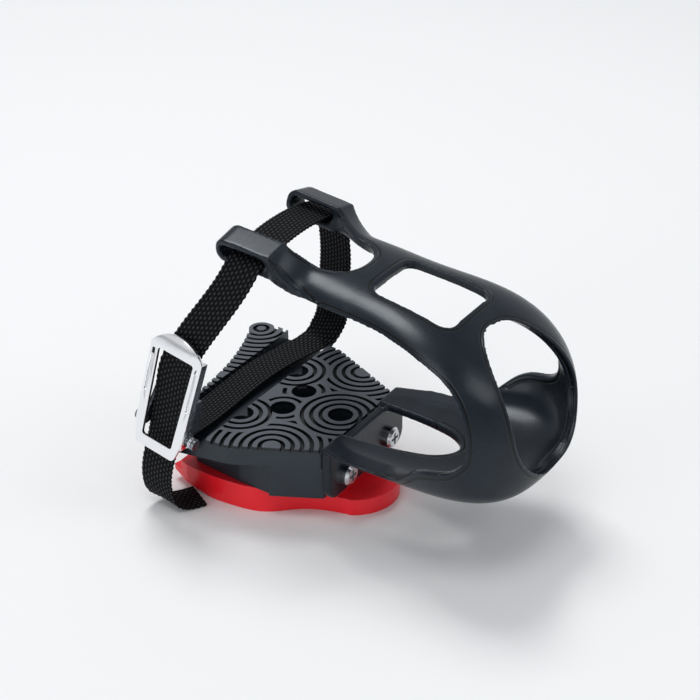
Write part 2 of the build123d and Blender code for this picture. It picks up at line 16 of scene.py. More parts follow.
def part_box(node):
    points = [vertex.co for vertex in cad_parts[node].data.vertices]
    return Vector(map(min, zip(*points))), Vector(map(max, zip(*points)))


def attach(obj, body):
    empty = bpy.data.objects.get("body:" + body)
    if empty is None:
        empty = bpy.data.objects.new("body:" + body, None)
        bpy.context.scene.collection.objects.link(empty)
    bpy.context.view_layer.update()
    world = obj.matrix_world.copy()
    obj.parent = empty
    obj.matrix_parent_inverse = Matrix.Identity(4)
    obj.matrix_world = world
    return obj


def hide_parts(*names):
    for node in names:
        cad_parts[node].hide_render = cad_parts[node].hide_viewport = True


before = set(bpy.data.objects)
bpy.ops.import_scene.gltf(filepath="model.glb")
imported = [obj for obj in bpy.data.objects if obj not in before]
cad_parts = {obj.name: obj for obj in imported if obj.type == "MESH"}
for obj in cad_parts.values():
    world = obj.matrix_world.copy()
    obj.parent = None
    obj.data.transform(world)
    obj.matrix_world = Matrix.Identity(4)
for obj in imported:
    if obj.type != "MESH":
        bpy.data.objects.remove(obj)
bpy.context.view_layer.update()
MM = 0.001

# %% [markdown]
# A material is a small graph of nodes. Writing one function that adds a node, sets its values and
# links its sockets keeps each graph readable. Colours are picked as the sRGB values that a paint
# programme shows, and Blender wants them linear, so one more function converts them.

# %% Helpers for materials
def linear(hex_colour):
    """An sRGB colour such as #a0b0c0 as linear red, green, blue and alpha."""
    shares = [int(hex_colour[i:i + 2], 16) / 255 for i in (1, 3, 5)]
    return [s / 12.92 if s <= 0.04045 else ((s + 0.055) / 1.055) ** 2.4 for s in shares] + [1.0]


def add_node(tree, kind, inputs=None, **settings):
    """Adds a node with its settings. Each input takes a value or another node's output socket."""
    node = tree.nodes.new(kind)
    for name, value in settings.items():
        setattr(node, name, value)
    for name, value in (inputs or {}).items():
        if isinstance(value, bpy.types.NodeSocket):
            tree.links.new(value, node.inputs[name])
        else:
            node.inputs[name].default_value = value
    return node


def new_material(name):
    """A material with an empty graph, its surface shader and its output."""
    material = bpy.data.materials.new(name)
    material.use_nodes = True
    tree = material.node_tree
    tree.nodes.clear()
    shader = add_node(tree, "ShaderNodeBsdfPrincipled")
    add_node(tree, "ShaderNodeOutputMaterial", {"Surface": shader.outputs["BSDF"]})
    return material, tree, shader


def colour_steps(node, *steps):
    """Sets a colour ramp's stops, each one a position and a colour."""
    stops = node.color_ramp.elements
    while len(stops) < len(steps):
        stops.new(0.5)
    for stop, (position, colour) in zip(stops, steps):
        stop.position, stop.color = position, linear(colour)
    return node.outputs["Color"]


print("mid grey in linear light", [round(c, 3) for c in linear("#808080")])

# %% [markdown]
# The cage and the platform are injection moulded nylon. The mould is lightly sparked, so the skin
# is satin with a grain of about a fifth of a millimetre. That is finer than a pixel here, so it is
# drawn at half a millimetre. Broad cloudy changes of gloss keep the highlights from looking
# computed. No mould has razor edges, so a Bevel node turns the normals along every edge: on
# black plastic that thin turning line is what shows where one face ends and the next begins.

# %% Moulded nylon
GRAIN_MM, GRAIN_DEPTH_MM = 0.5, 0.05
CLOUD_MM, GLOSS_SPREAD = 14.0, 0.03
NYLON_IOR, SHEEN_TINT = 1.53, "#f0f8ff"
EDGE_SAMPLES = 6


def moulded_nylon(name, dark, light, roughness, grain, edge_mm, shine):
    """Satin moulded plastic with cloudy gloss, a fine sparked grain and soft edges."""
    material, tree, shader = new_material(name)
    place = add_node(tree, "ShaderNodeTexCoord").outputs["Object"]
    clouds = add_node(tree, "ShaderNodeTexNoise", {
        "Vector": place, "Scale": 1 / (CLOUD_MM * MM), "Detail": 3.0})
    specks = add_node(tree, "ShaderNodeTexNoise", {
        "Vector": place, "Scale": 1 / (GRAIN_MM * MM), "Detail": 2.0})
    tint = add_node(tree, "ShaderNodeValToRGB", {"Fac": clouds.outputs["Fac"]})
    colour = colour_steps(tint, (0.3, dark), (0.7, light))
    gloss = add_node(tree, "ShaderNodeMapRange", {
        "Value": clouds.outputs["Fac"], "From Min": 0.3, "From Max": 0.7,
        "To Min": roughness - GLOSS_SPREAD, "To Max": roughness + GLOSS_SPREAD})
    edge = add_node(tree, "ShaderNodeBevel", {"Radius": edge_mm * MM}, samples=EDGE_SAMPLES)
    bump = add_node(tree, "ShaderNodeBump", {
        "Height": specks.outputs["Fac"], "Strength": grain, "Distance": GRAIN_DEPTH_MM * MM,
        "Normal": edge.outputs["Normal"]})
    tree.links.new(colour, shader.inputs["Base Color"])
    tree.links.new(gloss.outputs["Result"], shader.inputs["Roughness"])
    tree.links.new(bump.outputs["Normal"], shader.inputs["Normal"])
    shader.inputs["IOR"].default_value = NYLON_IOR
    shader.inputs["Specular IOR Level"].default_value = shine
    shader.inputs["Specular Tint"].default_value = linear(SHEEN_TINT)
    return material, tree, shader, colour


print("grain", GRAIN_MM, "mm, clouds", CLOUD_MM, "mm")

# %% [markdown]
# The cage is the glossier of the two. Along most of its rims the mould leaves a narrow lip, set off by
# a fine line that looks black. The cage's mesh carries the distance to its nearest rim as an
# attribute, and the material draws the line where that distance is about two millimetres, as a groove
# in the bump and a painted shade that darkens the colour nearly to black. Cut into the mesh, so fine a
# line would cost far more faces.

# %% Cage nylon with its lip line of painted shade
LIP_MM, LIP_LINE_MM, LIP_SPAN_MM = 2.0, 0.55, 4.0
LIP_SOFT_MM, LIP_DEPTH_MM, LIP_STRENGTH = 0.3, 0.3, 0.9
LIP_PAINTED_SHADE = "#020203"


def nylon_with_lip_line_painted_shade():
    """Satin black nylon with a fine line of painted shade, over a bump groove, beside its rims."""
    material, tree, shader, colour = moulded_nylon(
        "satin_cage_nylon", "#11171e", "#181f27", roughness=0.27, grain=0.12, edge_mm=0.5, shine=0.3)
    rim = add_node(tree, "ShaderNodeAttribute", attribute_name="rim_mm").outputs["Fac"]
    share = add_node(tree, "ShaderNodeMapRange", {"Value": rim, "From Max": LIP_SPAN_MM})
    line = add_node(tree, "ShaderNodeValToRGB", {"Fac": share.outputs["Result"]})
    near, far = [(LIP_MM + side * LIP_LINE_MM / 2) / LIP_SPAN_MM for side in (-1, 1)]
    soft = LIP_SOFT_MM / LIP_SPAN_MM
    groove = colour_steps(
        line, (near - soft, "#ffffff"), (near, "#000000"), (far, "#000000"), (far + soft, "#ffffff"))
    skin = shader.inputs["Normal"].links[0].from_socket
    bump = add_node(tree, "ShaderNodeBump", {
        "Height": groove, "Strength": LIP_STRENGTH, "Distance": LIP_DEPTH_MM * MM, "Normal": skin})
    tree.links.new(bump.outputs["Normal"], shader.inputs["Normal"])
    # Painted shade: inside the groove the colour is mixed towards near black.
    tint = add_node(tree, "ShaderNodeMix", {"Factor": groove}, data_type="RGBA")
    tint.inputs["A"].default_value = linear(LIP_PAINTED_SHADE)
    tree.links.new(colour, tint.inputs["B"])
    tree.links.new(tint.outputs["Result"], shader.inputs["Base Color"])
    return material


cage_nylon = nylon_with_lip_line_painted_shade()
print("made", cage_nylon.name)

# %% [markdown]
# The tread is the same plastic. Its grooves are darkened nearly to black as painted shade, and the
# tops of its ridges are lightened grey as a painted highlight. Height tells them apart: from the groove
# floors up the colour is nearly black, and just under the ridge tops it turns grey. Each layer below is
# a colour and the two heights, from the ridge tops, between which it sets in.

# %% Tread nylon with painted shade and highlight
TREAD_PAINTED_SHADE_AND_HIGHLIGHT = (("#07090b", -1.4, -1.3), ("#53575d", -0.3, -0.05))


def tread_with_painted_light():
    """Tread plastic with painted shade in its grooves and a painted highlight on its ridge tops."""
    material, tree, shader, colour = moulded_nylon(
        "tread_nylon_painted_shade_and_highlight", "#1a2027", "#222930", roughness=0.36, grain=0.3, edge_mm=0.3, shine=0.45)
    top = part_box("platform")[1].z
    place = add_node(tree, "ShaderNodeTexCoord").outputs["Object"]
    height = add_node(tree, "ShaderNodeSeparateXYZ", {"Vector": place}).outputs["Z"]
    # Painted light: the groove floors get painted shade and the ridge tops a painted highlight.
    for tint, low, high in TREAD_PAINTED_SHADE_AND_HIGHLIGHT:
        share = add_node(tree, "ShaderNodeMapRange", {
            "Value": height, "From Min": top + low * MM, "From Max": top + high * MM})
        layer = add_node(tree, "ShaderNodeMix", {"Factor": share.outputs["Result"]}, data_type="RGBA")
        tree.links.new(colour, layer.inputs["A"])
        layer.inputs["B"].default_value = linear(tint)
        colour = layer.outputs["Result"]
    tree.links.new(colour, shader.inputs["Base Color"])
    return material


tread_nylon = tread_with_painted_light()
print("made", tread_nylon.name)

# %% [markdown]
# The cleat is a harder plastic, dyed red all through and polished by the mould, so it is smoother
# and takes broad soft highlights.

# %% Red cleat plastic
cleat_red = moulded_nylon(
    "dyed_cleat_plastic", "#f01c28", "#fa2632", roughness=0.3, grain=0.08, edge_mm=0.6, shine=0.4)[0]
print("made", cleat_red.name)

# %% [markdown]
# The buckle is pressed steel under bright plating. Polishing leaves it nearly mirror smooth with
# faint drawn lines. The bracket, roller and pins behind the strap are duller zinc plated steel, and
# the screws are bright steel.

# %% Plated steel
STREAK_STRETCH = 0.12
GLOSS_SHARES = (0.75, 1.3)


def plated_steel(name, colour, roughness, streak_mm):
    """Polished metal with faint drawn streaks along its length."""
    material, tree, shader = new_material(name)
    place = add_node(tree, "ShaderNodeTexCoord").outputs["Object"]
    along = add_node(tree, "ShaderNodeMapping", {"Vector": place, "Scale": (1.0, 1.0, STREAK_STRETCH)})
    streaks = add_node(tree, "ShaderNodeTexNoise", {
        "Vector": along.outputs["Vector"], "Scale": 1 / (streak_mm * MM), "Detail": 2.0})
    gloss = add_node(tree, "ShaderNodeMapRange", {
        "Value": streaks.outputs["Fac"], "From Min": 0.3, "From Max": 0.7,
        "To Min": roughness * GLOSS_SHARES[0], "To Max": roughness * GLOSS_SHARES[1]})
    tree.links.new(gloss.outputs["Result"], shader.inputs["Roughness"])
    shader.inputs["Base Color"].default_value = linear(colour)
    shader.inputs["Metallic"].default_value = 1.0
    return material


buckle_chrome = plated_steel("bright_plated_steel", "#eeeff1", 0.1, 0.8)
bracket_steel = plated_steel("zinc_plated_steel", "#7d8086", 0.32, 0.8)
screw_steel = plated_steel("bright_screw_steel", "#d2d3d6", 0.2, 0.6)
print("made", buckle_chrome.name, bracket_steel.name, screw_steel.name)

# %% [markdown]
# Webbing is woven from black nylon yarn. Where a yarn comes over the top it is rubbed smooth and
# glossier, and its colour is lightened there as a painted highlight. Where it dives under the next one,
# the colour is darkened nearly to black as painted shade. The strap's mesh carries the height of its
# weave as an attribute, and the material reads that to tell the two apart. A fine noise adds the
# twist of the yarn.

# %% Nylon webbing yarn with painted shade and highlight
YARN_MM, YARN_DEPTH_MM = 0.45, 0.1


def webbing_with_painted_weave_light():
    """Black woven nylon, with painted shade between its yarns and a painted highlight on top of them.
    """
    material, tree, shader = new_material("black_nylon_webbing")
    place = add_node(tree, "ShaderNodeTexCoord").outputs["Object"]
    height = add_node(tree, "ShaderNodeAttribute", attribute_name="weave").outputs["Fac"]
    twist = add_node(tree, "ShaderNodeTexNoise", {
        "Vector": place, "Scale": 1 / (YARN_MM * MM), "Detail": 3.0})
    tint = add_node(tree, "ShaderNodeValToRGB", {"Fac": height})
    # Painted light: nearly black low in the weave as painted shade, grey on the dome tops as a painted
    # highlight.
    colour = colour_steps(tint, (0.35, "#020203"), (0.65, "#0b0c0e"), (1.0, "#3b3e44"))
    gloss = add_node(tree, "ShaderNodeMapRange", {
        "Value": height, "From Min": 0.3, "From Max": 0.9, "To Min": 0.75, "To Max": 0.42})
    bump = add_node(tree, "ShaderNodeBump", {
        "Height": twist.outputs["Fac"], "Strength": 0.3, "Distance": YARN_DEPTH_MM * MM})
    tree.links.new(colour, shader.inputs["Base Color"])
    tree.links.new(gloss.outputs["Result"], shader.inputs["Roughness"])
    tree.links.new(bump.outputs["Normal"], shader.inputs["Normal"])
    shader.inputs["Specular IOR Level"].default_value = 0.15
    return material


black_webbing = webbing_with_painted_weave_light()
print("made", black_webbing.name)

# %% [markdown]
# CAD nodes whose shape is right keep their meshes and only get a finish. A node's material slots
# are cleared first, so that nothing of the plain CAD colour is left.

# %% Finish the CAD nodes
def finish(material, *nodes):
    """Gives CAD nodes their material."""
    for node in nodes:
        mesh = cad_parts[node].data
        mesh.materials.clear()
        mesh.materials.append(material)
    print(material.name, "on", ", ".join(nodes))


finish(tread_nylon, "platform")
finish(cleat_red, "cleat")
finish(screw_steel, "cage_screws")
finish(bracket_steel, "buckle_base", "buckle_pivots", "buckle_roller", "roller_pin", "strap_bar")
finish(bracket_steel, "cleat_bolts", "cleat_nuts", "cleat_washers", "cage_nuts")

# %% [markdown]
# New pieces all end the same way: the bmesh becomes a mesh, the mesh an object with its material,
# parented to an empty for the body it rides on, and the CAD node it stands for is hidden.

# %% Hand a piece over
def hand_over(bm, name, material, body, node):
    """Turns a bmesh into a piece that rides on a body and stands for a CAD node."""
    mesh = bpy.data.meshes.new(name)
    bm.to_mesh(mesh)
    bm.free()
    mesh.materials.append(material)
    piece = bpy.data.objects.new(name, mesh)
    bpy.context.collection.objects.link(piece)
    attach(piece, body)
    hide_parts(node)
    print(name, "triangles", sum(len(face.vertices) - 2 for face in mesh.polygons))
    return piece


# %% [markdown]
# Modifiers such as Remesh, Decimate and Boolean work on objects, and the pieces here are bmeshes. So a
# bmesh is lent to a loose object, the modifier works on that, and the result is read back. A CAD
# node's mesh is loose triangles, so a copy of it is merged before anything else is done to it.

# %% Tools for copies of CAD nodes
MERGE_MM = 0.002
SMOOTH_SHARE = 0.9


def merged_mesh(node):
    """A bmesh of a CAD node with its loose triangles joined."""
    bm = bmesh.new()
    bm.from_mesh(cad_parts[node].data)
    bmesh.ops.remove_doubles(bm, verts=bm.verts[:], dist=MERGE_MM * MM)
    return bm


def loose_object(bm):
    """An object that holds a bmesh for a modifier to work on."""
    mesh = bpy.data.meshes.new("loose")
    bm.to_mesh(mesh)
    bm.free()
    shape = bpy.data.objects.new("loose", mesh)
    bpy.context.collection.objects.link(shape)
    return shape


def discard(shape):
    """Removes a loose object and its mesh."""
    mesh = shape.data
    bpy.data.objects.remove(shape)
    bpy.data.meshes.remove(mesh)


def modified(bm, kind, **settings):
    """A bmesh as a modifier leaves it."""
    shape = loose_object(bm)
    modifier = shape.modifiers.new("step", kind)
    for name, value in settings.items():
        setattr(modifier, name, value)
    result = bmesh.new()
    result.from_object(shape, bpy.context.evaluated_depsgraph_get())
    discard(shape)
    return result


def smooth(bm, verts, passes):
    """Draws points towards the middle of their neighbours."""
    for turn in range(passes):
        bmesh.ops.smooth_vert(
            bm, verts=verts, factor=SMOOTH_SHARE, use_axis_x=True, use_axis_y=True, use_axis_z=True)


print("loose points of the cage", len(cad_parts["toe_cage"].data.vertices))

# %% [markdown]
# Each strap loop stands on a web that runs down into its arm. In the CAD node the web's underside ends
# in a small step under the arm, and on the moulding it runs out level. So one function says where a
# point of that underside goes. The rims are read from the CAD node, before anything is rounded: they
# are its sharp outward edges, apart from those between two faces that both look up. Points along them
# go into a search tree, which gives any point's distance to its nearest rim.

# %% The cage's webs and rims
TOP_Z = 80.0
WEB_X, WEB_Y, WEB_SLACK = (9.0, 25.6), 19.0, 0.5
ARM_UNDER_Z, ARM_UNDER_SLOPE = 88.66, -0.12
TUCK_SHARE = 0.97
WEB_END, WEB_END_REACH = Vector((25.2, 24.8, 88.4)), 3.4
RIM_ANGLE, RIM_RISE, RIM_STEP_MM = radians(40), 0.3, 0.3


def web_end(side):
    """Where a web ends under its arm: side is 1 on the left and -1 on the right."""
    return Vector((WEB_END.x, side * WEB_END.y, WEB_END.z)) * MM


def tucked(point):
    """Where a point goes so that a web's underside runs out level with the arm's."""
    x, z = point.x / MM, point.z / MM
    under = ARM_UNDER_Z + ARM_UNDER_SLOPE * (x - WEB_X[1])
    along_web = WEB_X[0] < x < WEB_X[1] + WEB_SLACK
    if not (along_web and abs(point.y) > WEB_Y * MM and TOP_Z < z < under):
        return point
    share = min(1.0, (x - WEB_X[0]) / (WEB_X[1] - WEB_X[0]))
    return point + Vector((0, 0, (under - z) * MM)) * (TUCK_SHARE * share * share * (3 - 2 * share))


def rim_finder():
    """A search tree of points along the rims of the CAD node's cage."""
    bm = merged_mesh("toe_cage")
    bm.normal_update()
    rims = [edge for edge in bm.edges if edge.calc_face_angle_signed() > RIM_ANGLE]
    rims = [edge for edge in rims if min(face.normal.z for face in edge.link_faces) < RIM_RISE]
    points = []
    for edge in rims:
        a, b = [vert.co for vert in edge.verts]
        if (a - web_end(copysign(1, a.y))).length < WEB_END_REACH * MM:
            continue
        steps = max(1, round((b - a).length / (RIM_STEP_MM * MM)))
        points += [tucked(a.lerp(b, k / steps)) for k in range(steps + 1)]
    bm.free()
    tree = KDTree(len(points))
    for k, point in enumerate(points):
        tree.insert(point, k)
    tree.balance()
    print("rim points", len(points))
    return tree


cage_rims = rim_finder()

# %% [markdown]
# The cage is one moulding, and a mould leaves no sharp edge and no hard line where one form runs
# into the next. Its CAD node has the right form with crisp edges, so a merged copy is made over in
# voxels of a third of a millimetre and smoothed a few times, which rounds every rim a little. The
# upper skin where each web runs down into its arm is smoothed far longer, so that the two flow
# together. Only points that face upwards move there, and the rims on both sides of them stay where
# they are. Towards the loops, and along the floor arms, the lip line closes up with the rim and runs
# out.

# %% The moulded cage
CAGE_VOXEL, CAGE_TRIANGLES = 0.34, 170_000
RIM_PASSES, FLOW_PASSES, WEB_END_PASSES = 7, 28, 20
FLOW_X, FLOW_MARGINS, FLOW_RISE = (10.0, 36.0), (0.0, 2.0, 4.0, 6.0), 0.35
TOP_LIP_X, FLOOR_LIP_X, LIP_RUN_OUT = 12.0, 56.0, 0.7


def moulded_cage():
    """The cage with round rims, and with webs that flow into the arms."""
    bm = modified(merged_mesh("toe_cage"), "REMESH", mode="VOXEL", voxel_size=CAGE_VOXEL * MM)
    for vert in bm.verts:
        vert.co = tucked(vert.co)
    smooth(bm, bm.verts[:], RIM_PASSES)
    bm.normal_update()
    upper = [v for v in bm.verts if v.co.z > TOP_Z * MM and v.normal.z > FLOW_RISE]
    for margin in FLOW_MARGINS:
        low, high = (FLOW_X[0] + margin) * MM, (FLOW_X[1] - margin) * MM
        smooth(bm, [v for v in upper if low < v.co.x < high], FLOW_PASSES)
    for side in (1, -1):
        corner = [v for v in bm.verts if (v.co - web_end(side)).length < WEB_END_REACH * MM]
        smooth(bm, corner, WEB_END_PASSES)
    bm = modified(bm, "DECIMATE", ratio=CAGE_TRIANGLES / (2 * len(bm.faces)))
    rim_mm = bm.verts.layers.float.new("rim_mm")
    for vert in bm.verts:
        lip_x = TOP_LIP_X if vert.co.z > TOP_Z * MM else FLOOR_LIP_X
        run_out = LIP_RUN_OUT * max(0.0, lip_x - vert.co.x / MM)
        vert[rim_mm] = cage_rims.find(vert.co)[2] / MM + run_out
    return bm


cage = hand_over(moulded_cage(), "moulded_cage", cage_nylon, "adaptor", "toe_cage")
cage.data.shade_smooth()

# %% [markdown]
# Everything on the buckle is easiest to place in the buckle's own axes: across the strap, down
# along it, and out from the lever's inner face. They come from the two ends of the lever.

# %% The buckle's axes
LEVER_TOP = Vector((-14.1, -46.0, 73.1))
LEVER_FOOT = Vector((-23.5, -52.5, 28.7))
DOWN = (LEVER_FOOT - LEVER_TOP).normalized()
ACROSS = (Vector((1, 0, 0)) - DOWN * DOWN.x).normalized()
OUT = DOWN.cross(ACROSS)


def buckle_point(w, v, n):
    """A point across, down and out from the lever's top edge, in millimetres."""
    return LEVER_TOP + ACROSS * w + DOWN * v + OUT * n


print("lever length", round((LEVER_FOOT - LEVER_TOP).length, 1), "mm")

# %% [markdown]
# The lever is one pressing: a flat frame with folded sides, and a groove pressed down each rail to
# stiffen it. The CAD node has the frame, the folds and the pivot holes. A copy of its triangles is
# merged and its flat faces are joined again, the grooves are cut in with a Boolean, and then every
# sharp edge gets the small round that pressing and plating leave. Those rounds catch the light.

# %% Cut and soften a copy
FLAT_ANGLE, SHARP_ANGLE = radians(1), radians(35)


def merged_copy(node):
    """A bmesh of a CAD node with its loose triangles joined into whole faces."""
    bm = merged_mesh(node)
    bmesh.ops.dissolve_limit(bm, angle_limit=FLAT_ANGLE, verts=bm.verts[:], edges=bm.edges[:])
    return bm


def soften(bm, round_mm):
    """Rounds every sharp edge."""
    sharp = [edge for edge in bm.edges if edge.is_manifold and edge.calc_face_angle() > SHARP_ANGLE]
    bmesh.ops.bevel(
        bm, geom=sharp, offset=round_mm * MM, offset_type="OFFSET", segments=2, profile=0.5,
        affect="EDGES", material=-1, clamp_overlap=True)


def cut(bm, cutter):
    """The first bmesh with the second one taken away."""
    tool = loose_object(cutter)
    result = modified(bm, "BOOLEAN", object=tool, operation="DIFFERENCE", solver="EXACT")
    discard(tool)
    return result


print("loose points of the lever", len(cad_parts["buckle_lever"].data.vertices))

# %% [markdown]
# Each groove is cut by a bar with round ends that lies half sunk in the rail. A short bar at its top
# goes right through, and leaves the slot that shows dark in each rail.

# %% The lever
LEVER_T, RAIL_W = 1.2, 9.35
GROOVE_W, END_ROUND_SHARE = 1.3, 0.45
GROOVE = {"v0": 9.4, "v1": 25.0, "depth": 0.7}
SLOT = {"v0": 7.6, "v1": 10.6, "depth": 2.0}
PRESSED_ROUND_MM, CREASE_ANGLE = 0.22, radians(32)


def rail_bars(v0, v1, depth):
    """Two bars with round ends that cut the same recess into both rails."""
    bm = bmesh.new()
    for side in (1, -1):
        middle = buckle_point(side * RAIL_W, (v0 + v1) / 2, LEVER_T)
        axes = Matrix((ACROSS * GROOVE_W, DOWN * (v1 - v0), OUT * 2 * depth)).transposed()
        bar = bmesh.ops.create_cube(bm, size=1.0)["verts"]
        ends = [edge for vert in bar for edge in vert.link_edges]
        ends = [edge for edge in set(ends) if abs(edge.verts[0].co.z - edge.verts[1].co.z) > 0.5]
        place = Matrix.Translation(middle * MM) @ (axes * MM).to_4x4()
        bmesh.ops.transform(bm, matrix=place, verts=bar)
        bmesh.ops.bevel(
            bm, geom=ends, offset=END_ROUND_SHARE * GROOVE_W * MM, offset_type="OFFSET", segments=4,
            profile=0.5, affect="EDGES", material=-1, clamp_overlap=True)
    bmesh.ops.recalc_face_normals(bm, faces=bm.faces[:])
    return bm


lever_bm = merged_copy("buckle_lever")
for recess in (GROOVE, SLOT):
    lever_bm = cut(lever_bm, rail_bars(**recess))
soften(lever_bm, PRESSED_ROUND_MM)
lever = hand_over(lever_bm, "pressed_lever", buckle_chrome, "lever", "buckle_lever")
lever.data.shade_smooth()
lever.data.set_sharp_from_angle(angle=CREASE_ANGLE)

# %% [markdown]
# The lever is sprung by a wire coil round its right pivot. A ring of wire is spun round the pivot's
# axis while it also moves along it, which gives a screw, and then the same ring is drawn on to make
# the leg that hooks behind the bracket.

# %% The coil spring
PIVOT_V, PIVOT_N = 37.5, -2.8
WIRE_R, WIRE_SIDES = 0.32, 10
COIL_R, COIL_W, TURNS, COIL_PITCH = 1.75, 11.05, 2, 0.64
STEPS_A_TURN, BEND_STEPS = 24, 5
LEG_L, BEND_R, HOOK_L, FOOT_L = 3.0, 0.7, 1.6, 1.4


def picked(geometry, kind):
    """The vertices or the edges among what an operator returned."""
    return [part for part in geometry if isinstance(part, kind)]


def draw_on(bm, rim, way, length_mm):
    """Draws a rim of edges straight on and returns the new rim."""
    drawn = bmesh.ops.extrude_edge_only(bm, edges=rim)["geom"]
    bmesh.ops.translate(bm, vec=way * length_mm * MM, verts=picked(drawn, bmesh.types.BMVert))
    return [edge for edge in picked(drawn, bmesh.types.BMEdge) if edge.is_boundary]


def coil_spring():
    """The wire coil, with one end that hooks behind the bracket and one that lies on the lever."""
    bm = bmesh.new()
    wire = bmesh.ops.create_circle(bm, segments=WIRE_SIDES, radius=WIRE_R * MM)["verts"]
    facing = Matrix((ACROSS, DOWN, ACROSS.cross(DOWN))).transposed().to_4x4()
    start = buckle_point(COIL_W, PIVOT_V + COIL_R, PIVOT_N)
    bmesh.ops.transform(bm, matrix=Matrix.Translation(start * MM) @ facing, verts=wire)
    first = bm.edges[:]
    steps = STEPS_A_TURN * TURNS
    coil = bmesh.ops.spin(
        bm, geom=wire + first, cent=buckle_point(0, PIVOT_V, PIVOT_N) * MM, axis=ACROSS,
        dvec=ACROSS * (COIL_PITCH * TURNS / steps * MM), angle=tau * TURNS, steps=steps)
    leg = draw_on(bm, picked(coil["geom_last"], bmesh.types.BMEdge), -OUT, LEG_L)
    leg_verts = list({vert for edge in leg for vert in edge.verts})
    leg_end = start + ACROSS * (COIL_PITCH * TURNS) - OUT * LEG_L
    bend = bmesh.ops.spin(
        bm, geom=leg + leg_verts, cent=(leg_end - ACROSS * BEND_R) * MM, axis=OUT.cross(ACROSS),
        dvec=(0, 0, 0), angle=radians(90), steps=BEND_STEPS)
    draw_on(bm, picked(bend["geom_last"], bmesh.types.BMEdge), -ACROSS, HOOK_L)
    draw_on(bm, first, OUT, FOOT_L)
    bmesh.ops.holes_fill(bm, edges=[edge for edge in bm.edges if edge.is_boundary])
    bmesh.ops.remove_doubles(bm, verts=bm.verts[:], dist=MERGE_MM * MM)
    bmesh.ops.recalc_face_normals(bm, faces=bm.faces[:])
    return bm


spring_wire = plated_steel("bright_spring_wire", "#d0d2d6", 0.14, 0.6)
spring = hand_over(
    coil_spring(), "coil_spring", spring_wire, "adaptor", "buckle_spring")
spring.data.shade_smooth()

# %% [markdown]
# The strap is flat webbing, 13.5 mm wide. Its route is the one the CAD model uses, point by point,
# with the direction of its width at each point: from the bar behind the buckle over the platform,
# up through both loops of the cage, and down through the buckle to its loose tail on the ground.

# %% Strap route
STRAP_W, STRAP_T = 13.5, 1.3
FLAT = Vector((1, 0, 0))
LOOP_PITCH = radians(8)
TILTED = Vector((cos(LOOP_PITCH), 0, -sin(LOOP_PITCH)))
TURNED = Vector((0.89, -0.46, 0))
BAR_V, BAR_N, BAR_REACH = 35.0, -9.2, 2.15
BAR_TURNS = range(-60, 196, 32)
STRAP_SINK = 1.05
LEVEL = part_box("platform")[1].z / MM - STRAP_SINK


def strap_route():
    """Points of the strap's middle line with the direction of its width."""
    route = []
    for turn in BAR_TURNS:
        v, n = BAR_V - BAR_REACH * sin(radians(turn)), BAR_N + BAR_REACH * cos(radians(turn))
        route.append((buckle_point(0, v, n), ACROSS))
    route += [
        (Vector((-22.9, -37.8, LEVEL + 2.2)), ACROSS * 0.5 + FLAT * 0.5),
        (Vector((-23.2, -35.4, LEVEL + 0.4)), FLAT),
        (Vector((-23.4, -32.5, LEVEL)), FLAT),
        (Vector((-23.4, 22.0, LEVEL)), FLAT),
        (Vector((-21.0, 36.0, LEVEL)), FLAT),
        (Vector((-19.4, 41.2, LEVEL + 0.5)), FLAT),
        (Vector((-17.8, 44.8, LEVEL + 2.0)), FLAT),
        (Vector((-15.8, 46.2, LEVEL + 5.4)), FLAT),
        (Vector((-13.8, 46.6, LEVEL + 10.0)), FLAT),
        (Vector((-10.4, 43.4, 48.0)), FLAT * 0.7 + TILTED * 0.3),
        (Vector((-6.8, 39.0, 60.0)), FLAT * 0.5 + TILTED * 0.5),
        (Vector((-2.2, 32.4, 82.0)), TILTED),
        (Vector((-1.8, 29.6, 93.0)), TILTED),
        (Vector((-1.8, 28.0, 96.0)), TILTED),
        (Vector((-1.8, 25.6, 97.5)), TILTED),
        (Vector((-1.8, 16.0, 99.7)), TILTED),
        (Vector((-1.5, 5.0, 100.8)), TILTED),
        (Vector((-1.2, -5.0, 100.8)), TILTED),
        (Vector((-0.9, -16.0, 99.7)), TILTED),
        (Vector((-0.7, -25.6, 97.5)), TILTED),
        (Vector((-0.9, -28.0, 95.9)), TILTED),
        (Vector((-2.0, -30.6, 92.2)), TILTED),
    ]
    buckle = ((1.3, 4, -2.1), (-0.8, 12, -1.8), (-0.4, 27, -2.4), (-0.4, 40, -3.6), (-0.7, 46, -4.4))
    route += [(buckle_point(w, v, n), ACROSS) for w, v, n in buckle]
    route += [
        (Vector((-25.8, -49.4, 20.0)), ACROSS),
        (Vector((-26.6, -49.4, 13.0)), ACROSS * 0.7 + FLAT * 0.3),
        (Vector((-26.4, -48.7, 8.6)), ACROSS * 0.3 + FLAT * 0.7),
        (Vector((-25.8, -47.4, 5.4)), FLAT * 0.8 + TURNED * 0.2),
        (Vector((-24.8, -45.4, 3.1)), FLAT * 0.5 + TURNED * 0.5),
        (Vector((-23.6, -43.0, 1.7)), FLAT * 0.2 + TURNED * 0.8),
        (Vector((-22.2, -40.6, 1.0)), TURNED),
        (Vector((-18.9, -34.9, 0.8)), TURNED),
    ]
    return route


print("strap points", len(strap_route()))

# %% [markdown]
# Between two points the middle line is a Hermite curve whose slopes come from the neighbours, so
# it passes through every point of the route without a corner. A short run weighs more in a slope
# than a long one, which stops the curve from swinging past tight bends.

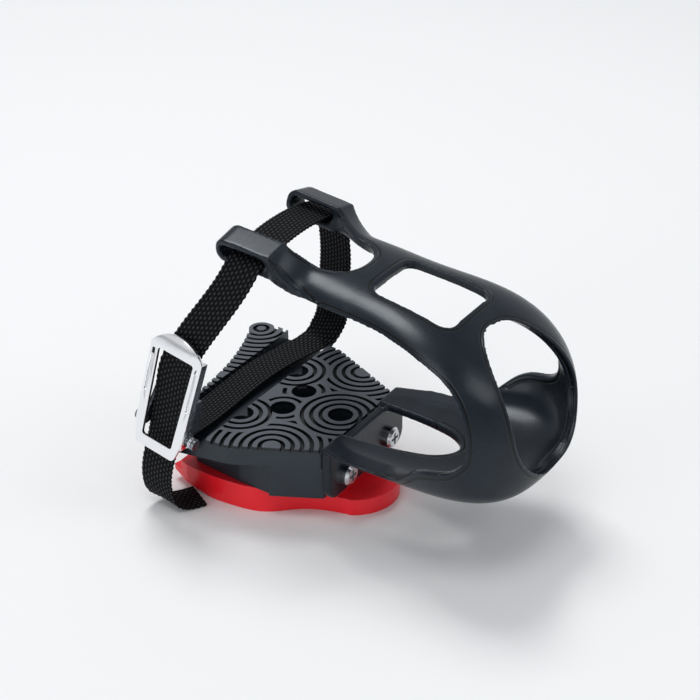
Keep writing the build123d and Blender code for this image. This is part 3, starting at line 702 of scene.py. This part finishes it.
# %% Walk along the route
class Walk:
    """Finds the strap's place at a distance from its start."""

    def __init__(self, route):
        self.points = [p for p, way in route]
        self.ways = [way.normalized() for p, way in route]
        self.starts = [0.0]
        for a, b in zip(self.points, self.points[1:]):
            self.starts.append(self.starts[-1] + (b - a).length)
        self.length = self.starts[-1]

    def slope(self, k):
        """Direction of the middle line at point k."""
        last = len(self.points) - 1
        if k == 0:
            return (self.points[1] - self.points[0]).normalized()
        if k == last:
            return (self.points[last] - self.points[last - 1]).normalized()
        back, ahead = self.points[k] - self.points[k - 1], self.points[k + 1] - self.points[k]
        return (back / back.length ** 2 + ahead / ahead.length ** 2).normalized()

    def at(self, distance):
        """Point, direction and width direction at a distance."""
        k = max(i for i, start in enumerate(self.starts[:-1]) if start <= distance or i == 0)
        run = self.starts[k + 1] - self.starts[k]
        t = min(1.0, max(0.0, (distance - self.starts[k]) / run))
        a, b = self.points[k], self.points[k + 1]
        m, n = self.slope(k) * run, self.slope(k + 1) * run
        point = (a * (2 * t ** 3 - 3 * t ** 2 + 1) + m * (t ** 3 - 2 * t ** 2 + t)
                 + b * (3 * t ** 2 - 2 * t ** 3) + n * (t ** 3 - t ** 2))
        along = (a * (6 * t ** 2 - 6 * t) + m * (3 * t ** 2 - 4 * t + 1)
                 + b * (6 * t - 6 * t ** 2) + n * (3 * t ** 2 - 2 * t)).normalized()
        way = self.ways[k].lerp(self.ways[k + 1], t)
        across = (way - along * way.dot(along)).normalized()
        return point, along, across


walk = Walk(strap_route())
print("strap length", round(walk.length), "mm")

# %% [markdown]
# The weave shows as rows of small domes, each one a warp yarn passing over a weft yarn, and every
# second row is shifted by half a dome. Measured against the strap's width there are ten rows, and
# the domes are about 2 mm long. The height of a dome is exaggerated a little so that it still shows
# at this picture's size. A flat grid gets its thickness and its weave while it is still straight,
# and then each of its points is carried to the route, so the weave follows every bend by itself.

# %% Weave the strap
ROWS = 10
DOME_L, DOME_H, DOME_FULLNESS = 2.1, 0.42, 0.7
CELLS_ACROSS, CELL_L = 40, 0.46
EDGE_SHARE, EDGE_THINNING, EDGE_WAVE = 0.93, 0.45, 0.18


def dome(s, w):
    """Height of the weave at a distance along and across the strap, from 0 to 1."""
    row = (w / STRAP_W + 0.5) * ROWS
    shift = 0.5 if floor(row) % 2 else 0.0
    along = (s / DOME_L + shift) % 1.0 - 0.5
    return max(0.0, cos(pi * (row - floor(row) - 0.5)) * cos(pi * along)) ** DOME_FULLNESS


def woven_strap():
    """The whole strap as one bmesh, with the height of its weave in the layer called weave."""
    steps = round(walk.length / CELL_L)
    bm = bmesh.new()
    bmesh.ops.create_grid(bm, x_segments=steps, y_segments=CELLS_ACROSS, size=0.5)
    core = STRAP_T - DOME_H
    bmesh.ops.solidify(bm, geom=bm.faces[:], thickness=core)
    weave = bm.verts.layers.float.new("weave")
    middle = sum(v.co.z for v in bm.verts) / len(bm.verts)
    frames = [walk.at(walk.length * k / steps) for k in range(steps + 1)]
    for vert in bm.verts:
        k = round((vert.co.x + 0.5) * steps)
        s, w = walk.length * k / steps, vert.co.y * STRAP_W
        side = 1 if vert.co.z > middle else -1
        vert[weave] = dome(s, w)
        edge = max(0.0, abs(w) / (STRAP_W / 2) - EDGE_SHARE) / (1 - EDGE_SHARE)
        height = side * (core / 2 + DOME_H * (vert[weave] - 0.5)) * (1 - EDGE_THINNING * edge)
        w += edge * EDGE_WAVE * cos(tau * s / DOME_L) * (1 if w > 0 else -1)
        point, along, across = frames[k]
        vert.co = (point + across * w + along.cross(across) * height) * MM
    bmesh.ops.recalc_face_normals(bm, faces=bm.faces[:])
    return bm


strap = hand_over(woven_strap(), "woven_strap", black_webbing, "adaptor", "strap")
strap.data.shade_smooth()

# %% [markdown]
# The picture is a catalogue cut-out: pale all round, with light from large soft boxes. A wide sheet
# of white paper gives the ground and keeps the shadow. The room is pale at the horizon and darker
# above, because black plastic shows whatever surrounds it: a room that is white all over would turn
# it grey.

# %% Floor and room
FLOOR_HALF_M, PAPER = 30.0, "#f6f6f6"
ROOM_STEPS = ((0.0, "#e2e2e2"), (0.12, "#d0d2d5"), (0.5, "#a4a8ad"), (1.0, "#8c8f93"))


def paper_floor():
    """A wide sheet of matt white paper."""
    bm = bmesh.new()
    bmesh.ops.create_grid(bm, x_segments=1, y_segments=1, size=FLOOR_HALF_M)
    mesh = bpy.data.meshes.new("studio_floor")
    bm.to_mesh(mesh)
    bm.free()
    piece = bpy.data.objects.new("studio_floor", mesh)
    bpy.context.collection.objects.link(piece)
    material, tree, shader = new_material("matt_white_paper")
    shader.inputs["Base Color"].default_value = linear(PAPER)
    shader.inputs["Roughness"].default_value = 0.9
    shader.inputs["Specular IOR Level"].default_value = 0.0
    mesh.materials.append(material)
    return piece


paper_floor()

room = bpy.data.worlds.new("studio_room")
bpy.context.scene.world = room
room.use_nodes = True
room.node_tree.nodes.clear()
way = add_node(room.node_tree, "ShaderNodeTexCoord").outputs["Generated"]
rise = add_node(room.node_tree, "ShaderNodeSeparateXYZ", {"Vector": way}).outputs["Z"]
wall = add_node(room.node_tree, "ShaderNodeValToRGB", {"Fac": rise})
paint = colour_steps(wall, *ROOM_STEPS)
air = add_node(room.node_tree, "ShaderNodeBackground", {"Color": paint, "Strength": 1.0})
add_node(room.node_tree, "ShaderNodeOutputWorld", {"Surface": air.outputs["Background"]})
print("floor", 2 * FLOOR_HALF_M, "m wide")

# %% [markdown]
# Four large soft boxes stand well back, so that their light is even all over the paper. The one above
# and behind gives the long pale sheen on the cage's arms, and one above the camera's side fills the
# tops. A third in front opens the legs and the buckle, and the fourth lights the cup from the toe's
# side. Their strength is set so that the white paper comes out nearly white and never clips.

# %% Soft boxes
AIM = Vector((0.03, 0.0, 0.05))


def soft_box(name, place, size, watts):
    """A square area lamp that looks at the object."""
    lamp = bpy.data.lights.new(name, "AREA")
    lamp.size, lamp.energy = size, watts
    box = bpy.data.objects.new(name, lamp)
    box.location = place
    box.rotation_euler = (AIM - Vector(place)).to_track_quat("-Z", "Y").to_euler()
    bpy.context.collection.objects.link(box)


soft_box("overhead_box", (-0.53, 0.38, 1.50), 0.56, 10.8)
soft_box("top_box", (0.18, -0.55, 1.55), 0.68, 5.6)
soft_box("front_box", (-0.32, -1.42, 0.48), 0.66, 3.0)
soft_box("right_box", (1.15, 0.45, 1.25), 0.6, 3.0)
print("lamps", len(bpy.data.lights))

# %% [markdown]
# The camera stands where the photograph was taken from: to the right of the toe's axis, at about
# 29 degrees above the ground, with a long lens so that parallel edges stay nearly parallel.

# %% Camera
CAMERA_AT = Vector((0.2812, -0.4116, 0.3254))
CAMERA_WAY = Vector((-0.4635, 0.7435, -0.4821))
LENS_MM, SENSOR_MM = 80.2, 36.0
lens = bpy.data.cameras.new("photo_camera")
lens.lens, lens.sensor_width = LENS_MM, SENSOR_MM
camera = bpy.data.objects.new("photo_camera", lens)
camera.location = CAMERA_AT
camera.rotation_euler = CAMERA_WAY.to_track_quat("-Z", "Y").to_euler()
bpy.context.collection.objects.link(camera)
bpy.context.scene.camera = camera
bpy.context.scene.view_settings.view_transform = "Standard"
print("camera at", [round(c, 3) for c in camera.location])
